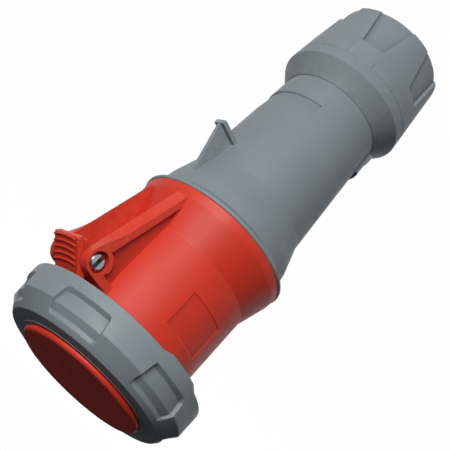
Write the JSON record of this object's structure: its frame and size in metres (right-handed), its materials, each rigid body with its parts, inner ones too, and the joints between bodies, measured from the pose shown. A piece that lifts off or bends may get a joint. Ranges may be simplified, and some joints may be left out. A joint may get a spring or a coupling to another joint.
{
  "type": "industrial inline socket",
  "caption": "Round industrial power connector with a hinged lid, a bayonet lock ring, finger-safe sockets and a cable gland.",
  "frame": {"origin": "centre of the round cable entry in the gland nut's rear face", "axes": "+Z along the connector's axis towards the lid, +Y towards the lid's hinge, +X completes the right-handed frame"},
  "size_m": [0.1142, 0.1253, 0.2765],
  "materials": {
    "red_plastic": "fine satin",
    "grey_plastic": "fine satin",
    "black_plastic": "satin",
    "black_rubber": "matt",
    "steel": "plated",
    "brass": "plain"
  },
  "bodies": {
    "housing": {"front_housing": "red_plastic", "housing_flare": "red_plastic", "ear_right": "red_plastic", "ear_left": "red_plastic", "rear_housing": "grey_plastic", "housing_seal": "black_rubber", "hinge_pin": "steel", "lid_spring": "steel", "contact_insert": "black_plastic", "insert_face": "black_plastic", "chamber_block": "black_plastic", "insert_cover": "black_plastic", "clamp_cage": "black_plastic", "gland_seal": "black_rubber", "cover_screw_1": "steel", "cover_screw_2": "steel", "cover_screw_3": "steel", "contact_l1": "brass", "terminal_screw_l1": "steel", "sleeve_spring_l1": "steel", "contact_l2": "brass", "terminal_screw_l2": "steel", "sleeve_spring_l2": "steel", "contact_l3": "brass", "terminal_screw_l3": "steel", "sleeve_spring_l3": "steel", "contact_neutral": "brass", "terminal_screw_neutral": "steel", "sleeve_spring_neutral": "steel", "contact_earth": "brass", "terminal_screw_earth": "steel", "sleeve_spring_earth": "steel", "contact_pilot": "brass", "terminal_screw_pilot": "steel", "sleeve_spring_pilot": "steel"},
    "lid": {"lid": "red_plastic", "lid_seal": "black_rubber"},
    "lock_ring": {"lock_ring": "grey_plastic"},
    "pressure_ring": {"pressure_ring": "black_plastic"},
    "gland_nut": {"gland_nut": "grey_plastic"}
  },
  "joints": [
    {"name": "lid_hinge", "type": "hinge", "parent": "housing", "child": "lid", "pos_m": [0, 0.0531, 0.2362], "axis": [-1, 0, 0], "range_deg": [0, 120], "stiffness_Nm_per_rad": 0.08, "springref_deg": -28.65, "deforming": ["lid_spring"]},
    {"name": "ring_turn", "type": "hinge", "parent": "lid", "child": "lock_ring", "pos_m": [0, 0, 0.262], "axis": [0, 0, -1], "range_deg": [0, 40]},
    {"name": "gland_turn", "type": "hinge", "parent": "pressure_ring", "child": "gland_nut", "pos_m": [0, 0, 0.03], "axis": [0, 0, -1], "range_deg": [0, 720]},
    {"name": "gland_advance", "type": "slide", "parent": "housing", "child": "pressure_ring", "axis": [0, 0, -1], "range_m": [0, 0.0081]}
  ],
  "couplings": [
    {"joint": "gland_advance", "follows": "gland_turn", "m_per_rad": 0.00063662}
  ]
}
